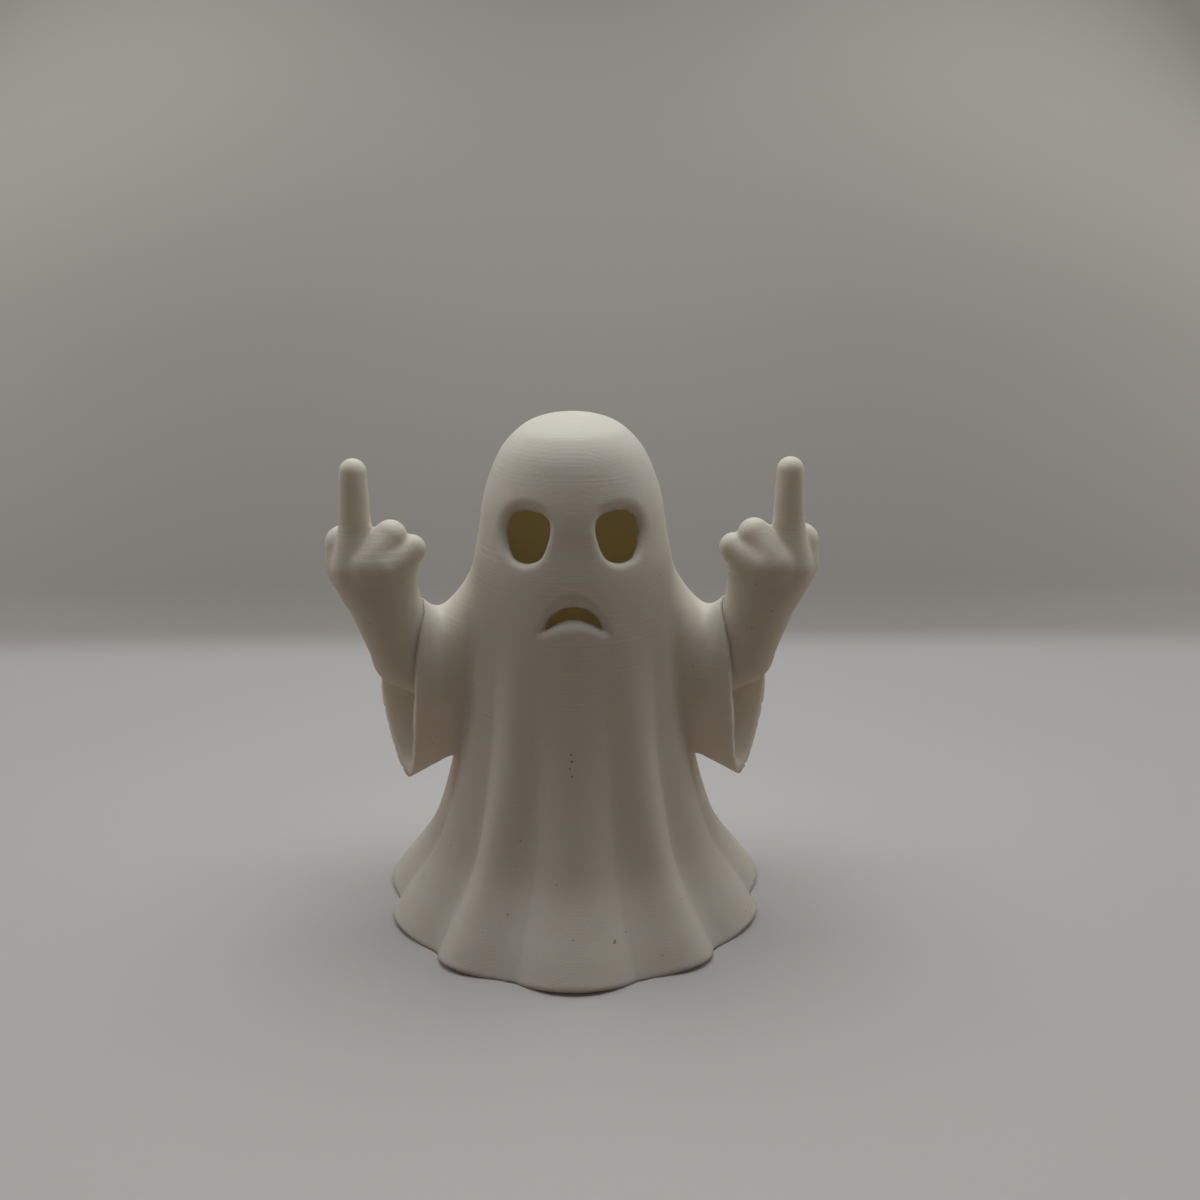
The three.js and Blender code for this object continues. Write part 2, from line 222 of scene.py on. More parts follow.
class GhostFaceSettings(PropertyGroup):
    """Sizes of the eyes and the mouth."""

    eye_width: FloatProperty(name="Eye width", description="Width of an eye's rim",
                             default=9.7 * MM, unit="LENGTH")
    eye_height: FloatProperty(name="Eye height", description="Height of an eye's rim",
                               default=11.4 * MM, unit="LENGTH")
    eye_spacing: FloatProperty(name="Eye spacing", description="Distance between the eyes' middles",
                               default=17.4 * MM, unit="LENGTH")
    eye_level: FloatProperty(name="Eye level", description="Height of the eyes above the table",
                             default=80.6 * MM, unit="LENGTH")
    mouth_width: FloatProperty(name="Mouth width", description="Width of the mouth's rim",
                               default=13.2 * MM, unit="LENGTH")
    mouth_height: FloatProperty(name="Mouth height", description="Height of the mouth's rim",
                                default=7.2 * MM, unit="LENGTH")
    mouth_level: FloatProperty(name="Mouth level", description="Height of the mouth's middle",
                               default=66.8 * MM, unit="LENGTH")
    softness: FloatProperty(name="Softness", description="Rounding of the eyes' and mouth's edges",
                            default=1 * MM, unit="LENGTH")


class GhostSleeveSettings(PropertyGroup):
    """Sizes of the sleeves."""

    wall: FloatProperty(name="Wall", description="Thickness of a sleeve's wall",
                        default=1.5 * MM, unit="LENGTH")
    fillet: FloatProperty(name="Fillet", description="Rounding between the sleeve and the robe",
                          default=3.5 * MM, unit="LENGTH")


class GhostArmSettings(PropertyGroup):
    """Sizes of the arms."""

    glue_gap: FloatProperty(name="Glue gap", description="Clearance round the arm in its seat",
                            default=0.09 * MM, unit="LENGTH")
    fillet: FloatProperty(name="Fillet", description="Rounding between the parts of the hand",
                          default=0.9 * MM, unit="LENGTH")


class GhostFinishSettings(PropertyGroup):
    """Colours and texture of the plastic."""

    plastic: FloatVectorProperty(name="Plastic", description="Colour of the outside",
                                 subtype="COLOR", min=0, max=1, default=(0.8, 0.785, 0.73))
    # Painted light: the hollow's colour is a yellow glow that stands in for light coming through the
    # thin walls
    hollow: FloatVectorProperty(name="Hollow", description="Colour of the unlit inside",
                                subtype="COLOR", min=0, max=1, default=(1, 0.845, 0.7))
    roughness: FloatProperty(name="Roughness", description="Roughness of the plastic",
                             default=0.55, min=0, max=1)
    layer: FloatProperty(name="Layer", description="Height of a printed layer",
                         default=0.2 * MM, unit="LENGTH")
    bands: FloatProperty(name="Bands", description="Depth of the uneven bands of the print",
                         default=0.06 * MM, unit="LENGTH")


class GhostStageSettings(PropertyGroup):
    """Colours and lamps of the stage."""

    # The floor's and wall's colours are painted light and shade: the nearer floor is lighter, the
    # rising wall darker than the floor, lighter far out to the sides and in its far corners, and a
    # little darker far up
    floor: FloatVectorProperty(name="Floor", description="Colour of the floor behind the figurine",
                               subtype="COLOR", min=0, max=1, default=(0.55, 0.56, 0.575))
    floor_front_painted_light: FloatVectorProperty(name="Floor in front", description="Colour of the nearer floor",
                                     subtype="COLOR", min=0, max=1, default=(0.69, 0.687, 0.7))
    wall: FloatVectorProperty(name="Wall", description="Colour of the rising backdrop",
                              subtype="COLOR", min=0, max=1, default=(0.37, 0.36, 0.35))
    wall_side_painted_light: FloatVectorProperty(name="Wall side", description="Colour of the backdrop far out",
                                   subtype="COLOR", min=0, max=1, default=(0.49, 0.472, 0.457))
    wall_corner_painted_light: FloatVectorProperty(name="Wall corner", description="Colour of its far corners",
                                     subtype="COLOR", min=0, max=1, default=(0.86, 0.84, 0.8))
    wall_top_painted_shade: FloatVectorProperty(name="Wall top", description="Colour of the backdrop far up",
                                  subtype="COLOR", min=0, max=1, default=(0.36, 0.353, 0.342))
    floor_bounce: FloatVectorProperty(name="Floor bounce",
                                      description="Colour that the floor throws back",
                                      subtype="COLOR", min=0, max=1, default=(0.33, 0.265, 0.23))
    wall_bounce: FloatVectorProperty(name="Wall bounce",
                                     description="Colour that the wall throws back",
                                     subtype="COLOR", min=0, max=1, default=(0.262, 0.22, 0.188))
    top_power: FloatProperty(name="Top lamp", description="Power of the lamp overhead, in watts",
                             default=1.02, min=0)
    side_power: FloatProperty(name="Side lamps", description="Power of each side lamp, in watts",
                              default=0.28, min=0)
    fill: FloatProperty(name="Fill", description="Strength of the light from all round",
                        default=0.01, min=0)


# Fields

def smooth_min(a, b, radius):
    """Union of two fields, with a fillet."""
    near = np.maximum(radius - np.abs(a - b), 0) / radius
    return np.minimum(a, b) - near * near * radius / 4


def smooth_max(a, b, radius):
    """Overlap of two fields, with a rounded edge."""
    return -smooth_min(-a, -b, radius)


def smooth_step(value):
    """0 to 1 with flat ends."""
    share = np.clip(value, 0, 1)
    return share * share * (3 - 2 * share)


def curve_through(points, steps, closed=False):
    """Smooth line through points. On an open line, the first and last only set its ends' slope."""
    before, start, end, after = (np.roll(points, shift, axis=0) for shift in (1, 0, -1, -2))
    if not closed:
        before, start, end, after = (side[1:-2] for side in (before, start, end, after))
    share = (np.arange(steps) / steps)[:, None, None]
    line = 0.5 * (2 * start + (end - before) * share
                  + (2 * before - 5 * start + 4 * end - after) * share ** 2
                  + (3 * start - before - 3 * end + after) * share ** 3)
    line = line.transpose(1, 0, 2).reshape(-1, points.shape[1])
    return line if closed else np.vstack([line, points[-2]])


def segment_distance(u, v, start, end):
    """Squared distance of points to a segment, and on which side of it they lie."""
    along = end - start
    share = ((u - start[0]) * along[0] + (v - start[1]) * along[1]) / (along @ along)
    share = np.clip(share, 0, 1)
    away_u = u - start[0] - share * along[0]
    away_v = v - start[1] - share * along[1]
    return away_u ** 2 + away_v ** 2, along[0] * away_v - along[1] * away_u


class OutlineTable:
    """Signed distances to the robe's outline, over radius and height."""

    def __init__(self, outline, low, high):
        line = curve_through(outline, OUTLINE_POINTS)
        self.low = np.array(low)
        count = np.ceil((np.array(high) - self.low) / TABLE_STEP).astype(int) + 1
        radii, heights = (self.low[k] + TABLE_STEP * np.arange(count[k]) for k in (0, 1))
        radius, height = np.meshgrid(radii, heights, indexing="ij")
        nearest = np.full(radius.shape, np.inf)
        sign = np.ones(radius.shape)
        for start, end in zip(line[:-1], line[1:]):
            squared, side = segment_distance(radius, height, start, end)
            closer = squared < nearest
            nearest[closer] = squared[closer]
            sign[closer] = np.where(side[closer] > 0, -1, 1)
        self.values = sign * np.sqrt(nearest)

    def __call__(self, radius, height):
        spots = []
        for axis, value in enumerate((radius, height)):
            top = self.values.shape[axis] - 1.001
            spots.append(np.clip((value - self.low[axis]) / TABLE_STEP, 0, top))
        i, j = (spot.astype(int) for spot in spots)
        a, b = spots[0] - i, spots[1] - j
        v = self.values
        return ((v[i, j] * (1 - a) + v[i + 1, j] * a) * (1 - b)
                + (v[i, j + 1] * (1 - a) + v[i + 1, j + 1] * a) * b)


def polygon_field(u, v, outline):
    """Signed distance to a closed outline, below zero inside."""
    line = curve_through(outline, RIM_POINTS, closed=True)
    nearest = np.full(u.shape, np.inf)
    inside = np.zeros(u.shape, bool)
    for start, end in zip(line, np.roll(line, -1, axis=0)):
        squared, _ = segment_distance(u, v, start, end)
        nearest = np.minimum(nearest, squared)
        if start[1] != end[1]:
            spans = (v < start[1]) != (v < end[1])
            cross = start[0] + (v - start[1]) / (end[1] - start[1]) * (end[0] - start[0])
            inside ^= spans & (u < cross)
    return np.where(inside, -1, 1) * np.sqrt(nearest)


def mirrored(outline):
    """Closed outline from its +X half, whose ends lie on the middle line."""
    return np.vstack([outline, (outline * [-1, 1])[-2:0:-1]])


def fold_ridge(angle, fall, softness):
    """1 on a fold's crest and 0 in a valley, at an angle from the front and a share of the fall."""
    phase = np.interp(angle, FOLD_VALLEYS, np.arange(len(FOLD_VALLEYS)))
    fold = np.floor(phase).astype(int)
    crest = 0.5 + (CREST_SHARES[fold] - 0.5) * fall
    power = FOLD_FULLNESS[0] + (FOLD_FULLNESS[1] - FOLD_FULLNESS[0]) * fall
    turn = np.pi * (phase - fold) ** (math.log(0.5) / np.log(crest))
    wave = np.hypot(np.sin(turn), softness) ** power
    return (wave - softness ** power) / (math.hypot(1, softness) ** power - softness ** power)


def robe_outside(x, y, z, robe, table):
    """Field of the robe without its hollow and sleeves."""
    fall = np.clip(1 - z / robe.fold_top, 0, 1)
    ridge = fold_ridge(np.arctan2(x, -y), fall, robe.fold_softness)
    fall = fall ** FOLD_GROWTH
    radius = np.hypot(x, y) + robe.fold_depth * fall * (1 - ridge)
    outside = table(radius, z)
    edge_height = robe.hem_lift * ridge + VALLEY_LIFT * (1 - ridge)
    foot = HEM_RADIUS - robe.hem_inset * ridge
    lean = HEM_RADIUS - HEM_SLOPE * edge_height - foot
    under = ((radius - foot) * edge_height - z * lean) / np.hypot(edge_height, lean)
    low = z < HEM_ZONE
    outside[low] = smooth_max(outside[low], under[low] - HEM_CUT_FADE * z[low], robe.edge)
    return outside


def face_holes(x, y, z, depth, robe, face):
    """Field of the eye and the mouth, from rims on the face to holes inside, and their softness."""
    inward = np.clip(depth / (robe.wall * HOLE_DEPTH), 0, 1)
    eye_at = np.array([face.eye_spacing / 2, face.eye_level])
    eye_half = np.array([-face.eye_width, face.eye_height]) / 2
    mouth_half = np.array([face.mouth_width, face.mouth_height]) / 2
    mouth_at = np.array([0, face.mouth_level])
    holes = np.full(x.shape, FAR)
    for at, half, rim, hole in ((eye_at, eye_half, EYE_RIM, EYE_HOLE),
                                (mouth_at, mouth_half, mirrored(MOUTH_RIM), mirrored(MOUTH_HOLE))):
        outer = polygon_field(x, z, at + half * rim)
        inner = polygon_field(x, z, at + half * hole)
        holes = np.minimum(holes, outer + (inner - outer) * inward)
    return holes, face.softness * (1 - (1 - HOLE_SOFTNESS) * inward)


def sleeve_tables():
    """Each value of the sleeve's sections at even shares from the body to the mouth."""
    points = np.vstack([SLEEVE_SECTIONS[0], SLEEVE_SECTIONS, SLEEVE_SECTIONS[-1]])
    line = curve_through(points, SLEEVE_POINTS)
    scale = {"turn": math.radians(1)}
    return {key: line[:, k] * scale.get(key, MM) for k, key in enumerate(SLEEVE_KEYS)}


def sleeve_rise(z, section, inset):
    """Share of a point's height between the sleeve's tip and its top."""
    low = section["bottom"] + inset * TIP_WALL_SHARE
    return np.clip((z - low) / (section["top"] - inset - low), 0, 1), low


def sleeve_field(x, y, z, inset, tables):
    """Field of a sleeve drawn in by inset, and the distance past its mouth."""
    x, y, z = x - SHOULDER[0], y - SHOULDER[1], z - SHOULDER[2]
    shares = np.linspace(0, 1, len(tables["x"]))

    def section_at(share):
        return {key: np.interp(share, shares, values) for key, values in tables.items()}

    def past(section):
        rise, _ = sleeve_rise(z, section, inset)
        pulled = x + section["pull"] * rise ** SLEEVE_PULL_REACH - section["x"]
        sideways = y - section["y"]
        cos, sin = np.cos(section["turn"]), np.sin(section["turn"])
        return pulled * cos - sideways * sin, pulled * sin + sideways * cos

    low, high = np.zeros(x.shape), np.ones(x.shape)
    for _ in range(SLEEVE_HALVINGS):
        middle = (low + high) / 2
        beyond = past(section_at(middle))[0] > 0
        low, high = np.where(beyond, middle, low), np.where(beyond, high, middle)
    section = section_at((low + high) / 2)
    rise, bottom = sleeve_rise(z, section, inset)
    half_height = (section["top"] - inset - bottom) / 2
    spread = SLEEVE_TIP_SHARE + (1 - SLEEVE_TIP_SHARE) * rise ** SLEEVE_TAPER
    half_width = section["width"] / 2 * spread - inset
    bulge = SLEEVE_SWELL * np.minimum(rise / SLEEVE_SWELL_RISE, 1)
    across = (past(section)[1] - bulge) / half_width
    upright = (z - bottom) / half_height - 1
    level = np.hypot(across, upright)
    slope = np.hypot(across / half_width, upright / half_height)
    field = level * (level - 1) / np.maximum(slope, TINY)
    return field, past(section_at(np.ones(1)))[0]


def ripples(x, y, z):
    """Height of the soft ripples down the sleeve's front."""
    height = RIPPLE_DEPTH * np.cos(2 * math.pi * (x - RIPPLE_CREST) / RIPPLE_STEP)
    for value, fades in ((z, RIPPLE_FADES_UP), (x, RIPPLE_FADES_OUT)):
        for start, end in fades:
            height *= smooth_step((value / MM - start) / (end - start))
    return height * smooth_step(-y / RIPPLE_FRONT)


def limb(points, start, end, start_radius, end_radius):
    """Field of a round-ended limb that tapers between two balls."""
    axis = end - start
    length = math.sqrt(axis @ axis)
    axis = axis / length
    away = points - start
    along = away @ axis
    out = np.sqrt(np.maximum((away ** 2).sum(-1) - along ** 2, 0))
    sine = (start_radius - end_radius) / length
    cosine = math.sqrt(1 - sine * sine)
    place = along * cosine - out * sine
    side = out * cosine + along * sine - start_radius
    first = np.hypot(along, out) - start_radius
    last = np.hypot(along - length, out) - end_radius
    return np.where(place < 0, first, np.where(place > length * cosine, last, side))


def arm_root(points, fillet):
    """Field of the arm from its spigot in the socket to the wrist."""
    spigot_start = np.array([SHOULDER[0] - SPIGOT_BACK, ARM_SEAT[1], ARM_SEAT[2]])
    root = limb(points, spigot_start, ARM_SEAT, SPIGOT_RADIUS, SPIGOT_RADIUS)
    root = smooth_min(root, limb(points, ARM_SEAT, ELBOW, UPPER_ARM_RADIUS, ELBOW_RADIUS), fillet)
    root = smooth_min(root, limb(points, ARM_HEEL, ELBOW, HEEL_RADIUS, ELBOW_RADIUS), fillet)
    return smooth_min(root, limb(points, ELBOW, WRIST, ELBOW_RADIUS, WRIST_RADIUS), fillet)


def hand(points, fillet):
    """Field of the palm and the fingers."""
    away = points - WRIST - PALM_AT
    level = np.linalg.norm(away / PALM_SIZE, axis=-1)
    slope = np.linalg.norm(away / PALM_SIZE ** 2, axis=-1)
    palm = level * (level - 1) / np.maximum(slope, TINY)
    fingers = np.full(palm.shape, FAR)
    for joints, radii in FINGERS.values():
        places = WRIST + MM * np.array(joints)
        finger = np.min([limb(points, places[k], places[k + 1], radii[k] * MM, radii[k + 1] * MM)
                         for k in range(len(places) - 1)], axis=0)
        fingers = smooth_min(fingers, finger, fillet)
    return smooth_min(palm, fingers, KNUCKLE_FILLET)


def arm_shape(arm):
    """The left arm's field as a function of points."""
    def shape(points):
        return smooth_min(arm_root(points, arm.fillet), hand(points, arm.fillet), 2 * arm.fillet)
    return shape


def robe_shape(robe, face, sleeve, arm):
    """The robe's field as a function of points."""
    table = OutlineTable(ROBE_OUTLINE, (0, -TABLE_MARGIN),
                         (HEM_RADIUS + TABLE_REACH, ROBE_HIGH.z + TABLE_MARGIN))
    tables = sleeve_tables()

    def shape(points):
        x, y, z = np.abs(points[..., 0]), points[..., 1], points[..., 2]
        outside = robe_outside(x, y, z, robe, table)
        folded = np.stack([x, y, z], -1)
        near = np.all((folded > SLEEVE_REGION[0]) & (folded < SLEEVE_REGION[1]), axis=-1)
        solid = outside.copy()
        hollow = np.full(outside.shape, FAR)
        side = folded[near]
        outer, past = sleeve_field(*side.T, 0, tables)
        outer -= ripples(*side.T)
        solid[near] = smooth_min(outside[near], smooth_max(outer, past, robe.edge / 2), sleeve.fillet)
        inner, _ = sleeve_field(*side.T, sleeve.wall, tables)
        off_axis = np.hypot(side[:, 1] - ARM_SEAT[1], side[:, 2] - ARM_SEAT[2])
        socket = np.maximum(off_axis - SOCKET_RADIUS, side[:, 0] - SHOULDER[0] - SOCKET_LENGTH)
        hollow[near] = np.maximum(np.maximum(inner, -outside[near]), -socket)
        hollow[near] = smooth_max(hollow[near], side[:, 2] - CUFF_TOP, CUFF_SOFTNESS)
        hollow[near] = np.minimum(hollow[near], arm_root(side, arm.fillet) - arm.glue_gap)
        shell = np.maximum(np.maximum(solid, -outside - robe.wall), -z)
        shell = smooth_max(shell, -hollow, robe.edge / 2)
        front = (y < 0) & (z > FACE_LOW) & (z < FACE_HIGH) & (x < FACE_HALF_WIDTH)
        holes, softness = face_holes(x[front], y[front], z[front], -outside[front], robe, face)
        shell[front] = smooth_max(shell[front], -holes, softness)
        return shell

    return shape, table


# Meshes

def sample(shape, axes):
    """A shape's field at every crossing of a grid."""
    grid = np.stack(np.meshgrid(*axes, indexing="ij"), -1)
    return np.stack([shape(slab) for slab in grid])


def slope_of(shape, points):
    """A shape's slope at points."""
    return np.stack([shape(points + step) - shape(points - step)
                     for step in np.eye(3) * SLOPE_STEP], -1) / (2 * SLOPE_STEP)


def surface_of(shape, values, axes):
    """Vertices and quads of a shape's surface, from its values on a grid.

    Each grid cell that the surface crosses has one vertex, close to where the surface's tangent
    planes at the cell's crossed edges meet, so that edges stay clean.
    """
    inside = values < 0
    limit = np.array(values.shape) - 1
    count = sum(inside[i:i + limit[0], j:j + limit[1], k:k + limit[2]].astype(np.int8)
                for i, j, k in product((0, 1), repeat=3))
    cells = np.argwhere((count > 0) & (count < 8))
    number = np.zeros(limit, int)
    number[tuple(cells.T)] = np.arange(len(cells))
    steps = np.eye(3, dtype=int)
    places, rings, outward = [], [], []
    for axis in range(3):
        b, c = steps[(axis + 1) % 3], steps[(axis + 2) % 3]
        starts = np.argwhere(np.diff(inside, axis=axis))
        first, last = values[tuple(starts.T)], values[tuple((starts + steps[axis]).T)]
        place = np.stack([axes[k][starts[:, k]] for k in range(3)], -1)
        place[:, axis] += first / (first - last) * np.diff(axes[axis])[starts[:, axis]]
        places.append(place)
        rings.append(np.stack([number[tuple((starts - s).T)] for s in (b + c, c, 0 * b, b)], -1))
        outward.append(first < 0)
    places, rings, outward = (np.concatenate(part) for part in (places, rings, outward))

    slope = slope_of(shape, places)
    steep = np.maximum((slope ** 2).sum(-1), LEAST_STEEPNESS)
    places -= (shape(places) / steep)[:, None] * slope
    normals = slope / np.sqrt(steep)[:, None]

    def gather(value):
        return np.bincount(rings.ravel(), np.repeat(value, 4), len(cells))

    middle = np.stack([gather(places[:, k]) for k in range(3)], -1)
    middle /= gather(np.ones(len(places)))[:, None]
    planes = np.empty((len(cells), 3, 3))
    for i, j in product(range(3), repeat=2):
        planes[:, i, j] = gather(normals[:, i] * normals[:, j])
    offset = (normals * places).sum(-1)
    pull = np.stack([gather(normals[:, k] * offset) for k in range(3)], -1)[..., None]
    pull -= planes @ middle[..., None]
    points = middle + np.linalg.solve(planes + PLANE_EASE * np.eye(3), pull)[..., 0]
    corners = [np.stack([axes[k][cells[:, k] + far] for k in range(3)], -1) for far in (0, 1)]
    quads = np.where(outward[:, None], rings, rings[:, ::-1])
    return np.clip(points, *corners), quads


def main_part(points, quads):
    """The largest connected part of a mesh."""
    label = np.arange(len(points))
    while True:
        new = label.copy()
        np.minimum.at(new, quads.ravel(), np.repeat(label[quads].min(1), 4))
        new = new[new]
        if np.array_equal(new, label):
            break
        label = new
    keep = label == np.bincount(label).argmax()
    number = np.cumsum(keep) - 1
    return points[keep], number[quads[keep[quads[:, 0]]]]


def piece_of(name, points, quads, shape, inside):
    """Blender object with the shape's own normals, and at each vertex its share of the hollow's
    painted yellow glow.
    """
    slope = slope_of(shape, points)
    normals = slope / np.maximum(np.linalg.norm(slope, axis=-1, keepdims=True), TINY)
    mesh = bpy.data.meshes.new(name)
    mesh.from_pydata(points.tolist(), [], quads.tolist())
    mesh.shade_smooth()
    mesh.normals_split_custom_set_from_vertices(normals.tolist())
    # Painted light: share of the yellow glow that stands in for light coming through the wall
    painted_glow = mesh.attributes.new("hollow", "FLOAT", "POINT")
    painted_glow.data.foreach_set("value", inside.astype(np.float32))
    piece = bpy.data.objects.new(name, mesh)
    bpy.context.scene.collection.objects.link(piece)
    return piece


def graded(low, high, steps):
    """Grid places from low to past high, with steps that change along the way."""
    places = [low]
    while places[-1] < high:
        places.append(places[-1] + MM * np.interp(places[-1] / MM, *steps))
    return np.array(places)


# Materials

def add_node(tree, kind, inputs=(), **settings):
    """New node with its settings, and with values or links on its inputs."""
    node = tree.nodes.new(kind)
    for key, value in settings.items():
        setattr(node, key, value)
    for key, value in dict(inputs).items():
        if isinstance(value, bpy.types.NodeSocket):
            tree.links.new(value, node.inputs[key])
        else:
            node.inputs[key].default_value = value
    return node


def math_node(tree, operation, first, second=0.0):
    """Output of a Math node."""
    return add_node(tree, "ShaderNodeMath", {0: first, 1: second}, operation=operation).outputs[0]


def mix_colour(tree, share, first, second):
    """Output of a colour mix."""
    node = add_node(tree, "ShaderNodeMix", data_type="RGBA")
    for socket, value in ((node.inputs[0], share), (node.inputs[6], first), (node.inputs[7], second)):
        if isinstance(value, bpy.types.NodeSocket):
            tree.links.new(value, socket)
        else:
            socket.default_value = value
    return node.outputs[2]


def rise_between(tree, value, low, high):
    """0 to 1 with flat ends, as a value goes from low to high."""
    return add_node(tree, "ShaderNodeMapRange", {0: value, 1: low, 2: high},
                    interpolation_type="SMOOTHSTEP").outputs[0]


def noise(tree, where, size, detail=2):
    """Output of a noise whose features have a size."""
    return add_node(tree, "ShaderNodeTexNoise",
                    {"Vector": where, "Scale": 1 / size, "Detail": detail}).outputs[0]


# The print's relief: sizes and depths of its layers, bands and grain. The bands wobble up and down,
# are deeper in rough places and higher up, and the crown has steps that each cover a few layers
LAYER_DEPTH = 0.008 * MM
GRAIN_SIZE, GRAIN_DEPTH = 0.5 * MM, 0.03 * MM
BAND_SIZE = 0.62 * MM
WOBBLE_SIZE, WOBBLE_DEPTH = 9 * MM, 0.2 * MM
ROUGH_SIZE, ROUGH_LEAST = 12 * MM, 0.18
ROUGH_NOISE = 0.44, 0.64
CALM_HEIGHTS, CALM_LEAST = (10 * MM, 45 * MM), 0.2
CROWN_STEP = 0.42 * MM
CROWN_HEIGHTS = 96.5 * MM, 99 * MM

# Tints of the plastic: warmer patches, and a darker tone along the bands
PATCH_SIZE = 14 * MM
PATCH_TINT = 1, 0.985, 0.95
BAND_DARK_COLOUR, BAND_DARK_SHARE = (0.62, 0.58, 0.5, 1), 0.1

# Dark specks: random ones, and those on the front with their x, y, z and radius, whose depth counts
# less, as the surface sets it
SPECK_COLOUR = 0.12, 0.1, 0.08, 1
SPECK_SPACING = 3.4 * MM
SPECK_SIZE, SPECK_RARITY, SPECK_SHARE = 0.05, 0.72, 0.45
SPECKS = MM * np.array([(-0.6, -22, 40.6, 0.2), (-0.5, -22.2, 39.3, 0.28), (-0.9, -22.5, 38, 0.2),
                        (-0.5, -22.8, 36.5, 0.22), (7.2, -33.3, 7.1, 0.3), (-12.8, -29.2, 10.1, 0.24)])
SPECK_SCALE = np.array([1, 0.1, 1])
PLACED_SHARE = 0.6

# Light inside the plastic
PLASTIC_IOR = 1.46
GLOW_WEIGHT = 0.6
GLOW_RADIUS = 1.0, 0.86, 0.68
GLOW_REACH = 3.4 * MM


def print_relief(tree, where, height, bands, finish):
    """Height of the print's texture over the surface."""
    layers = math_node(tree, "SINE", math_node(tree, "MULTIPLY", height, 2 * math.pi / finish.layer))
    rough = rise_between(tree, noise(tree, where, ROUGH_SIZE), *ROUGH_NOISE)
    calm = math_node(tree, "ADD", rise_between(tree, height, *CALM_HEIGHTS), CALM_LEAST)
    depth = math_node(tree, "MULTIPLY", math_node(tree, "ADD", rough, ROUGH_LEAST),
                      math_node(tree, "MULTIPLY", calm, finish.bands))
    step = math_node(tree, "FRACT", math_node(tree, "DIVIDE", height, CROWN_STEP))
    steps = math_node(tree, "MULTIPLY", math_node(tree, "MULTIPLY", step, -CROWN_STEP),
                      rise_between(tree, height, *CROWN_HEIGHTS))
    grain = math_node(tree, "MULTIPLY", noise(tree, where, GRAIN_SIZE, 3), GRAIN_DEPTH)
    coarse = math_node(tree, "ADD", math_node(tree, "MULTIPLY", bands, depth), steps)
    fine = math_node(tree, "ADD", math_node(tree, "MULTIPLY", layers, LAYER_DEPTH), grain)
    return math_node(tree, "ADD", coarse, fine)


def speck_share(tree, where):
    """Share of the specks' colour."""
    cells = add_node(tree, "ShaderNodeTexVoronoi", {"Vector": where, "Scale": 1 / SPECK_SPACING})
    dot = math_node(tree, "LESS_THAN", cells.outputs["Distance"], SPECK_SIZE)
    chance = add_node(tree, "ShaderNodeSeparateColor", {0: cells.outputs["Color"]}).outputs[0]
    rare = math_node(tree, "GREATER_THAN", chance, SPECK_RARITY)
    share = math_node(tree, "MULTIPLY", math_node(tree, "MULTIPLY", dot, rare), SPECK_SHARE)
    flat = add_node(tree, "ShaderNodeVectorMath", {0: where, 1: SPECK_SCALE}, operation="MULTIPLY")
    for *place, radius in SPECKS:
        away = add_node(tree, "ShaderNodeVectorMath", {0: flat.outputs[0], 1: place * SPECK_SCALE},
                        operation="DISTANCE").outputs["Value"]
        spot = math_node(tree, "MULTIPLY", math_node(tree, "LESS_THAN", away, radius), PLACED_SHARE)
        share = math_node(tree, "MAXIMUM", share, spot)
    return share


def printed_plastic(name, finish):
    """Warm white printed plastic: fine layer lines, uneven bands, a few dark specks, and the hollow's
    painted yellow glow inside.
    """
    material = bpy.data.materials.new(name)
    material.use_nodes = True
    tree = material.node_tree
    shader = tree.nodes["Principled BSDF"]
    where = add_node(tree, "ShaderNodeTexCoord").outputs["Object"]
    height = add_node(tree, "ShaderNodeSeparateXYZ", {0: where}).outputs["Z"]
    wobble = math_node(tree, "MULTIPLY", noise(tree, where, WOBBLE_SIZE), WOBBLE_DEPTH)
    level = math_node(tree, "ADD", height, wobble)
    bands = add_node(tree, "ShaderNodeTexNoise", {"W": level, "Scale": 1 / BAND_SIZE, "Detail": 2.5},
                     noise_dimensions="1D").outputs[0]
    relief = print_relief(tree, where, height, bands, finish)
    bump = add_node(tree, "ShaderNodeBump", {"Height": relief, "Strength": 1, "Distance": 1})
    warm = [part * tint for part, tint in zip(finish.plastic, PATCH_TINT)]
    colour = mix_colour(tree, noise(tree, where, PATCH_SIZE), (*finish.plastic, 1), (*warm, 1))
    colour = mix_colour(tree, math_node(tree, "MULTIPLY", bands, BAND_DARK_SHARE), colour, BAND_DARK_COLOUR)
    colour = mix_colour(tree, speck_share(tree, where), colour, SPECK_COLOUR)
    # Painted light: the inside of the wall takes the hollow's yellow glow, which stands in for light
    # coming through the plastic
    hollow = add_node(tree, "ShaderNodeAttribute", attribute_name="hollow").outputs["Fac"]
    colour = mix_colour(tree, hollow, colour, (*finish.hollow, 1))
    tree.links.new(colour, shader.inputs["Base Color"])
    tree.links.new(bump.outputs[0], shader.inputs["Normal"])
    shader.inputs["Roughness"].default_value = finish.roughness
    shader.inputs["IOR"].default_value = PLASTIC_IOR
    shader.inputs["Subsurface Weight"].default_value = GLOW_WEIGHT
    shader.inputs["Subsurface Radius"].default_value = GLOW_RADIUS
    shader.inputs["Subsurface Scale"].default_value = GLOW_REACH
    return material


# Limits of the stage's painted light and shade: the floor's gradient over depth, and the wall's over
# height and width
FLOOR_FADE = -0.14, 0.1
WALL_START = 0, 0.006
WALL_TOP_FADE = 0.05, 0.25
WALL_SIDE_FADE = 0.08, 0.34
CORNER_SIDE_FADE = 0, 0.34
CORNER_TOP_FADE = 0.08, 0.24
PAPER_ROUGHNESS = 0.9
PAPER_SHINE = 0.1


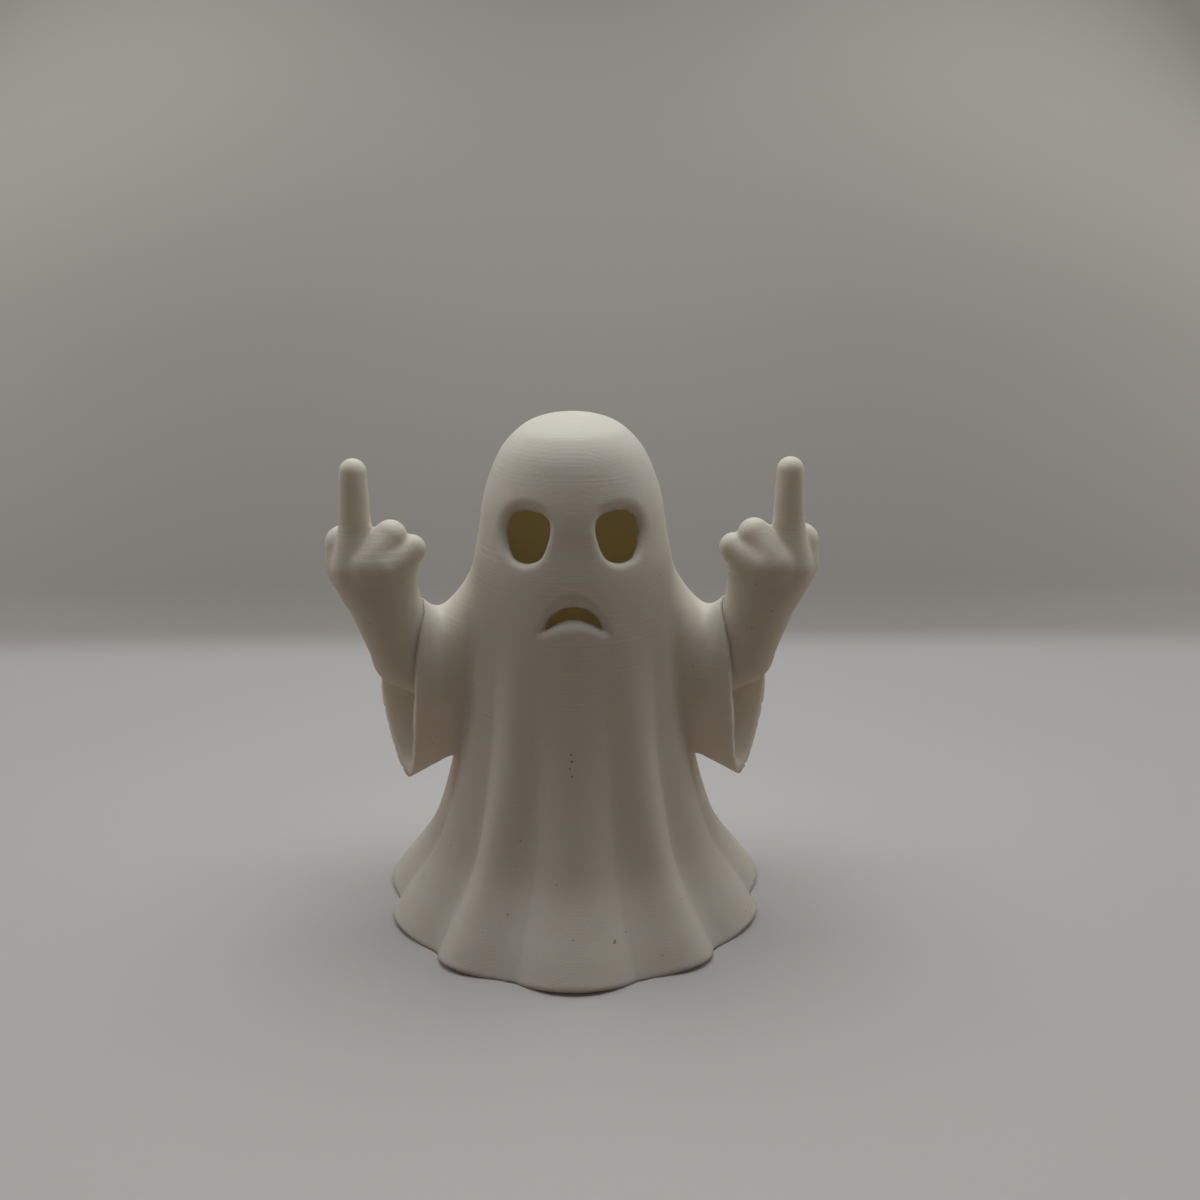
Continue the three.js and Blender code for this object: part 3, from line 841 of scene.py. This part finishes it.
def stage_material(stage):
    """Pale matte paper with painted light and shade: lighter towards the front, darker where it rises,
    lighter far out and in the far corners. It throws less light than it shows.
    """
    material = bpy.data.materials.new("backdrop_paper")
    material.use_nodes = True
    tree = material.node_tree
    shader = tree.nodes["Principled BSDF"]
    where = add_node(tree, "ShaderNodeTexCoord").outputs["Object"]
    across, depth, height = add_node(tree, "ShaderNodeSeparateXYZ", {0: where}).outputs
    # Painted light: the floor is lighter towards the front
    floor = mix_colour(tree, rise_between(tree, depth, *FLOOR_FADE),
                       (*stage.floor_front_painted_light, 1), (*stage.floor, 1))
    aside = math_node(tree, "ABSOLUTE", across)
    corner = math_node(tree, "MULTIPLY", rise_between(tree, aside, *CORNER_SIDE_FADE),
                       rise_between(tree, height, *CORNER_TOP_FADE))
    # Painted shade and light on the wall: darker than the floor, a little darker far up, lighter far
    # out and in the far corners
    wall = (*stage.wall, 1)
    for share, colour in ((rise_between(tree, height, *WALL_TOP_FADE), stage.wall_top_painted_shade),
                          (rise_between(tree, aside, *WALL_SIDE_FADE), stage.wall_side_painted_light),
                          (corner, stage.wall_corner_painted_light)):
        wall = mix_colour(tree, share, wall, (*colour, 1))
    rise = rise_between(tree, height, *WALL_START)
    shown = mix_colour(tree, rise, floor, wall)
    thrown = mix_colour(tree, rise, (*stage.floor_bounce, 1), (*stage.wall_bounce, 1))
    direct = add_node(tree, "ShaderNodeLightPath").outputs["Is Camera Ray"]
    tree.links.new(mix_colour(tree, direct, thrown, shown), shader.inputs["Base Color"])
    shader.inputs["Roughness"].default_value = PAPER_ROUGHNESS
    shader.inputs["Specular IOR Level"].default_value = PAPER_SHINE
    return material


# Stage

# The backdrop: its flat floor's half sizes, and the bend and slope by which it rises
BOWL_FLAT = 0.3, 0.125
BOWL_SQUARENESS = 5
BOWL_BEND = 0.045
BOWL_BEND_STEPS = 12
BOWL_SLOPE = math.radians(52)
BOWL_REACH = 0.55
BOWL_SIDES = 160

# Lamps: where they are and face, their size and colour. The side lamp's mirror image stands opposite
TOP_LAMP = (0, 0.075, 0.4), (0, 0, 0.03), 0.34
TOP_LAMP_COLOUR = 1, 0.985, 0.95
SIDE_LAMP = (0.33, 0.1, 0.16), (0, 0, 0.05), 0.3
SIDE_LAMP_COLOUR = 1, 0.97, 0.92
ROOM_COLOUR = 1, 0.93, 0.84, 1

CAMERA_AT = 0, -0.224, 0.137
CAMERA_PITCH = 18.25
CAMERA_YAW = 1.34
CAMERA_LENS = 36
CAMERA_SENSOR = 36


def backdrop():
    """Flat floor that turns up into a wide rounded bowl all round."""
    profile = []
    for k in range(BOWL_BEND_STEPS + 1):
        turn = BOWL_SLOPE * k / BOWL_BEND_STEPS
        profile.append((BOWL_BEND * math.sin(turn), BOWL_BEND * (1 - math.cos(turn))))
    last = profile[-1]
    profile.append((BOWL_REACH, last[1] + (BOWL_REACH - last[0]) * math.tan(BOWL_SLOPE)))
    points, faces = [], []
    for out, height in profile:
        for side in range(BOWL_SIDES):
            angle = 2 * math.pi * side / BOWL_SIDES
            ends = math.cos(angle), math.sin(angle)
            x, y = (math.copysign((flat + out) * abs(end) ** (2 / BOWL_SQUARENESS), end)
                    for flat, end in zip(BOWL_FLAT, ends))
            points.append((x, y, height))
    for row in range(len(profile) - 1):
        for side in range(BOWL_SIDES):
            a, b = row * BOWL_SIDES + side, row * BOWL_SIDES + (side + 1) % BOWL_SIDES
            faces.append((a, a + BOWL_SIDES, b + BOWL_SIDES, b))
    faces.append(tuple(range(BOWL_SIDES)))
    mesh = bpy.data.meshes.new("backdrop")
    mesh.from_pydata(points, [], faces)
    mesh.shade_smooth()
    bowl = bpy.data.objects.new("backdrop", mesh)
    bpy.context.scene.collection.objects.link(bowl)
    return bowl


def add_lamp(name, at, towards, size, power, colour):
    """Soft square lamp that faces a point."""
    light = bpy.data.lights.new(name, "AREA")
    light.size = size
    light.energy = power
    light.color = colour
    lamp = bpy.data.objects.new(name, light)
    lamp.location = at
    away = lamp.location - Vector(towards)
    lamp.rotation_euler = away.to_track_quat("Z", "Y").to_euler()
    lamp.visible_camera = False
    bpy.context.scene.collection.objects.link(lamp)


class GHOST_OT_set_stage(Operator):
    """Makes the backdrop, the lamps and the camera"""

    bl_idname = "ghost.set_stage"
    bl_label = "Set the stage"

    def execute(self, context):
        scene = context.scene
        stage = scene.ghost_stage
        bowl = backdrop()
        bowl.data.materials.append(stage_material(stage))
        add_lamp("lamp_top", *TOP_LAMP, stage.top_power, TOP_LAMP_COLOUR)
        (out, *along), towards, size = SIDE_LAMP
        for side in (-1, 1):
            add_lamp(f"lamp_side_{side}", (side * out, *along), towards, size,
                     stage.side_power, SIDE_LAMP_COLOUR)
        world = bpy.data.worlds.new("room")
        world.use_nodes = True
        background = world.node_tree.nodes["Background"]
        background.inputs["Color"].default_value = ROOM_COLOUR
        background.inputs["Strength"].default_value = stage.fill
        scene.world = world
        lens = bpy.data.cameras.new("camera")
        lens.lens = CAMERA_LENS
        lens.sensor_width = CAMERA_SENSOR
        camera = bpy.data.objects.new("camera", lens)
        camera.location = CAMERA_AT
        camera.rotation_euler = (math.radians(90 - CAMERA_PITCH), 0, math.radians(-CAMERA_YAW))
        scene.collection.objects.link(camera)
        scene.camera = camera
        scene.view_settings.view_transform = "Standard"
        return {"FINISHED"}


class GHOST_OT_model_robe(Operator):
    """Models the hollow robe with its face and sleeves"""

    bl_idname = "ghost.model_robe"
    bl_label = "Model the robe"

    def execute(self, context):
        scene = context.scene
        robe = scene.ghost_robe
        shape, table = robe_shape(robe, scene.ghost_face, scene.ghost_sleeve, scene.ghost_arm)
        reach = max(HEM_RADIUS, ROBE_HIGH.x) + ROBE_MARGIN
        across = graded(0, reach, SIDE_STEPS)
        axes = [across, graded(-reach, reach, DEPTH_STEPS),
                graded(-ROBE_BELOW, ROBE_HIGH.z + ROBE_ABOVE, ROW_STEPS)]
        values = sample(shape, axes)
        axes[0] = np.concatenate([-across[:0:-1], across])
        points, quads = main_part(*surface_of(shape, np.concatenate([values[:0:-1], values]), axes))
        points[:, 2] = np.maximum(points[:, 2], 0)
        # Painted light: how deep a vertex lies in the wall sets its share of the hollow's yellow glow
        depth = -robe_outside(np.abs(points[:, 0]), points[:, 1], points[:, 2], robe, table)
        inside = smooth_step(depth / robe.wall * PAINTED_GLOW_SLOPE - PAINTED_GLOW_START)
        piece = piece_of("printed_robe", points, quads, shape, inside)
        piece.data.materials.append(printed_plastic("robe_plastic", scene.ghost_finish))
        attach(piece, "root")
        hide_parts("robe_shell")
        return {"FINISHED"}


class GHOST_OT_model_arms(Operator):
    """Models both raised arms"""

    bl_idname = "ghost.model_arms"
    bl_label = "Model the arms"

    def execute(self, context):
        scene = context.scene
        shape = arm_shape(scene.ghost_arm)
        low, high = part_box("left_arm")
        axes = [np.arange(low[k] - ARM_MARGIN, high[k] + ARM_MARGIN, ARM_STEP) for k in range(3)]
        points, quads = main_part(*surface_of(shape, sample(shape, axes), axes))
        plastic = printed_plastic("arm_plastic", scene.ghost_finish)
        for side, name in ((1, "left"), (-1, "right")):
            turn = np.array([side, 1, 1])
            piece = piece_of(f"printed_{name}_arm", points * turn, quads[:, ::side],
                             lambda spots: shape(spots * turn), np.zeros(len(points)))
            piece.data.materials.append(plastic)
            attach(piece, "root")
            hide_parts(f"{name}_arm")
        return {"FINISHED"}


SETTINGS = {
    "ghost_robe": GhostRobeSettings,
    "ghost_face": GhostFaceSettings,
    "ghost_sleeve": GhostSleeveSettings,
    "ghost_arm": GhostArmSettings,
    "ghost_finish": GhostFinishSettings,
    "ghost_stage": GhostStageSettings,
}
OPERATORS = (GHOST_OT_set_stage, GHOST_OT_model_robe, GHOST_OT_model_arms)


class GHOST_PT_sidebar(Panel):
    """The ghost's sizes, and a button for each piece"""

    bl_idname = "GHOST_PT_sidebar"
    bl_label = "Printed ghost"
    bl_space_type = "VIEW_3D"
    bl_region_type = "UI"
    bl_category = "Ghost"

    def draw(self, context):
        for owner, group in SETTINGS.items():
            box = self.layout.box()
            box.label(text=group.__doc__.rstrip("."))
            for key in group.__annotations__:
                box.prop(getattr(context.scene, owner), key)
        for operator in OPERATORS:
            self.layout.operator(operator.bl_idname)


def register():
    for owner, group in SETTINGS.items():
        bpy.utils.register_class(group)
        setattr(bpy.types.Scene, owner, PointerProperty(type=group))
    for item in (*OPERATORS, GHOST_PT_sidebar):
        bpy.utils.register_class(item)


def unregister():
    for item in (GHOST_PT_sidebar, *reversed(OPERATORS)):
        bpy.utils.unregister_class(item)
    for owner, group in reversed(SETTINGS.items()):
        delattr(bpy.types.Scene, owner)
        bpy.utils.unregister_class(group)


def main():
    register()
    bpy.ops.ghost.set_stage()
    bpy.ops.ghost.model_robe()
    bpy.ops.ghost.model_arms()


if __name__ == "__main__":
    main()
